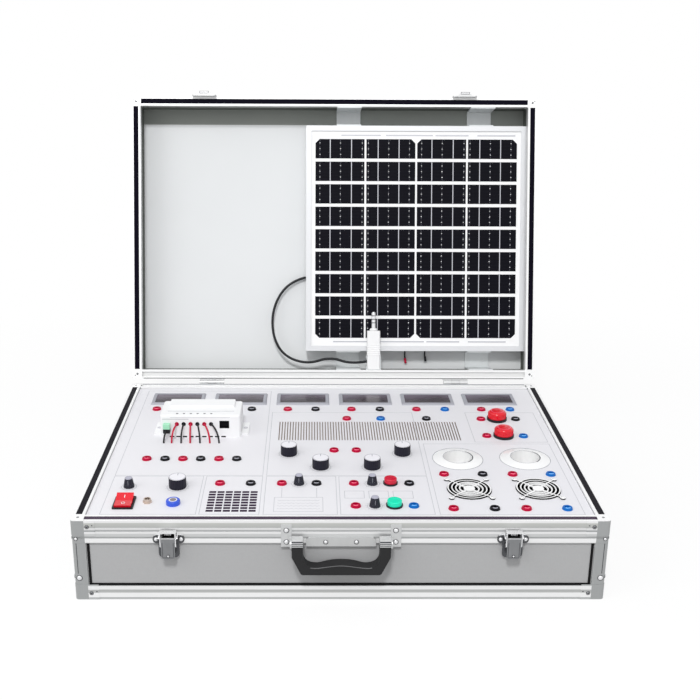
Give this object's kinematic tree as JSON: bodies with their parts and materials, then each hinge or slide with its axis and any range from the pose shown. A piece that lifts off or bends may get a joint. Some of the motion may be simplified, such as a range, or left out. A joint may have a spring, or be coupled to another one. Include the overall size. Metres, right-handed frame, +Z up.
{
  "type": "solar energy trainer",
  "caption": "Aluminium-framed teaching case with an instrument panel of meters, sockets, knobs, lamps and fans, and a solar panel in its hinged lid.",
  "frame": {"origin": "centre of the underside that the case rests on", "axes": "+X to the right along the hinge line, +Y from the latches towards the hinges, +Z up"},
  "size_m": [0.631, 0.6353, 0.5386],
  "materials": {
    "aluminium_profile": "satin anodised",
    "nickel": "polished plate",
    "laminate_board": "grey laminate on board",
    "dark_strip": "dark strip",
    "panel_print": "printed pale panel",
    "grey_plastic": "satin",
    "smoked_window": "gloss",
    "red_plastic": "gloss",
    "black_plastic": "satin",
    "blue_plastic": "gloss",
    "green_plastic": "gloss",
    "white_plastic": "gloss",
    "lead_rubber": "matt",
    "red_lens": "translucent red",
    "lining_cloth": "pale lining",
    "solar_back": "white backing film",
    "silicon": "dark blue cell",
    "steel": "plated",
    "inner_metal": "extruded"
  },
  "bodies": {
    "base": {"base_shell": "laminate_board", "base_rim_frame": "aluminium_profile", "base_edge_frame": "aluminium_profile", "base_rim_strips": "dark_strip", "instrument_panel": "panel_print", "hinge_base_leaves": "steel", "latch_plates": "nickel", "handle_mounts": "nickel", "meter_cases": "grey_plastic", "meter_windows": "smoked_window", "sockets_red": "red_plastic", "sockets_black": "black_plastic", "sockets_blue": "blue_plastic", "controller_case": "white_plastic", "controller_terminals": "steel", "controller_leads": "lead_rubber", "switch_and_lamp_bodies": "black_plastic", "button_collars_and_jack": "nickel", "pilot_lamp_lenses": "red_lens", "lampholders": "white_plastic", "fan_frames": "black_plastic", "fan_guards": "steel", "potentiometers": "steel", "buzzer": "black_plastic", "battery": "black_plastic", "inverter": "inner_metal"},
    "lid": {"lid_shell": "laminate_board", "lid_rim_frame": "aluminium_profile", "lid_edge_frame": "aluminium_profile", "lid_rim_strips": "dark_strip", "lid_lining": "lining_cloth", "lid_strikes": "nickel", "lid_brackets": "steel", "solar_frame": "aluminium_profile", "solar_laminate": "solar_back", "solar_cells": "silicon", "solar_cable": "lead_rubber", "hinge_lid_leaves": "steel", "junction_box": "black_plastic", "cable_plug": "white_plastic"},
    "handle": {"carry_handle": "black_plastic"},
    "latch_left_lever": {"latch_left_lever": "nickel"},
    "latch_left_claw": {"latch_left_claw": "nickel"},
    "latch_right_lever": {"latch_right_lever": "nickel"},
    "latch_right_claw": {"latch_right_claw": "nickel"},
    "range_knob_far_left": {"range_knob_far_left": "black_plastic"},
    "range_knob_near_left": {"range_knob_near_left": "black_plastic"},
    "range_knob_near_right": {"range_knob_near_right": "black_plastic"},
    "range_knob_far_right": {"range_knob_far_right": "black_plastic"},
    "supply_knob": {"supply_knob": "black_plastic"},
    "output_trim_knob": {"output_trim_knob": "black_plastic"},
    "timer_trim_knob": {"timer_trim_knob": "black_plastic"},
    "stop_trim_knob": {"stop_trim_knob": "black_plastic"},
    "start_trim_knob": {"start_trim_knob": "black_plastic"},
    "power_rocker": {"power_rocker": "red_plastic"},
    "red_button": {"red_button": "red_plastic"},
    "green_button": {"green_button": "green_plastic"},
    "ring_button": {"ring_button": "grey_plastic"},
    "fan_1_rotor": {"fan_1_rotor": "black_plastic"},
    "fan_2_rotor": {"fan_2_rotor": "black_plastic"}
  },
  "joints": [
    {"name": "lid_hinge", "type": "hinge", "parent": "base", "child": "lid", "pos_m": [0, 0.2245, 0.1057], "axis": [-1, 0, 0], "range_deg": [-106, 0]},
    {"name": "handle_swing", "type": "hinge", "parent": "base", "child": "handle", "pos_m": [0, -0.229, 0.08], "axis": [-1, 0, 0], "range_deg": [0, 95]},
    {"name": "latch_left_lever_turn", "type": "hinge", "parent": "base", "child": "latch_left_lever", "pos_m": [-0.2015, -0.2245, 0.084], "axis": [-1, 0, 0], "range_deg": [0, 95]},
    {"name": "latch_left_claw_turn", "type": "hinge", "parent": "latch_left_lever", "child": "latch_left_claw", "pos_m": [-0.2015, -0.2245, 0.075], "axis": [-1, 0, 0], "range_deg": [-95, 0]},
    {"name": "latch_right_lever_turn", "type": "hinge", "parent": "base", "child": "latch_right_lever", "pos_m": [0.2015, -0.2245, 0.084], "axis": [-1, 0, 0], "range_deg": [0, 95]},
    {"name": "latch_right_claw_turn", "type": "hinge", "parent": "latch_right_lever", "child": "latch_right_claw", "pos_m": [0.2015, -0.2245, 0.075], "axis": [-1, 0, 0], "range_deg": [-95, 0]},
    {"name": "range_knob_far_left_turn", "type": "hinge", "parent": "base", "child": "range_knob_far_left", "pos_m": [-0.065, -0.0305, 0.102], "axis": [0, 0, 1], "range_deg": [-135, 135]},
    {"name": "range_knob_near_left_turn", "type": "hinge", "parent": "base", "child": "range_knob_near_left", "pos_m": [-0.023, -0.071, 0.102], "axis": [0, 0, 1], "range_deg": [-135, 135]},
    {"name": "range_knob_near_right_turn", "type": "hinge", "parent": "base", "child": "range_knob_near_right", "pos_m": [0.044, -0.071, 0.102], "axis": [0, 0, 1], "range_deg": [-135, 135]},
    {"name": "range_knob_far_right_turn", "type": "hinge", "parent": "base", "child": "range_knob_far_right", "pos_m": [0.0865, -0.0295, 0.102], "axis": [0, 0, 1], "range_deg": [-135, 135]},
    {"name": "supply_knob_turn", "type": "hinge", "parent": "base", "child": "supply_knob", "pos_m": [-0.2015, -0.127, 0.102], "axis": [0, 0, 1], "range_deg": [-135, 135]},
    {"name": "output_trim_knob_turn", "type": "hinge", "parent": "base", "child": "output_trim_knob", "pos_m": [-0.262, -0.127, 0.102], "axis": [0, 0, 1], "range_deg": [-135, 135]},
    {"name": "timer_trim_knob_turn", "type": "hinge", "parent": "base", "child": "timer_trim_knob", "pos_m": [-0.0505, -0.1185, 0.102], "axis": [0, 0, 1], "range_deg": [-135, 135]},
    {"name": "stop_trim_knob_turn", "type": "hinge", "parent": "base", "child": "stop_trim_knob", "pos_m": [0.0415, -0.1185, 0.102], "axis": [0, 0, 1], "range_deg": [-135, 135]},
    {"name": "start_trim_knob_turn", "type": "hinge", "parent": "base", "child": "start_trim_knob", "pos_m": [0.0415, -0.1775, 0.102], "axis": [0, 0, 1], "range_deg": [-135, 135]},
    {"name": "power_rocker_tip", "type": "hinge", "parent": "base", "child": "power_rocker", "pos_m": [-0.2605, -0.1705, 0.103], "axis": [1, 0, 0], "range_deg": [-18, 0]},
    {"name": "red_button_press", "type": "slide", "parent": "base", "child": "red_button", "axis": [0, 0, -1], "range_m": [0, 0.003], "stiffness_N_per_m": 250, "springref_m": -0.001},
    {"name": "green_button_press", "type": "slide", "parent": "base", "child": "green_button", "axis": [0, 0, -1], "range_m": [0, 0.003], "stiffness_N_per_m": 250, "springref_m": -0.001},
    {"name": "ring_button_press", "type": "slide", "parent": "base", "child": "ring_button", "axis": [0, 0, -1], "range_m": [0, 0.002], "stiffness_N_per_m": 250, "springref_m": -0.001},
    {"name": "fan_1_spin", "type": "hinge", "parent": "base", "child": "fan_1_rotor", "pos_m": [0.1615, -0.133, 0.09], "axis": [0, 0, 1], "continuous": true},
    {"name": "fan_2_spin", "type": "hinge", "parent": "base", "child": "fan_2_rotor", "pos_m": [0.2475, -0.133, 0.09], "axis": [0, 0, 1], "continuous": true}
  ],
  "couplings": [
    {"joint": "latch_left_claw_turn", "follows": "latch_left_lever_turn", "ratio": -1},
    {"joint": "latch_right_claw_turn", "follows": "latch_right_lever_turn", "ratio": -1}
  ]
}
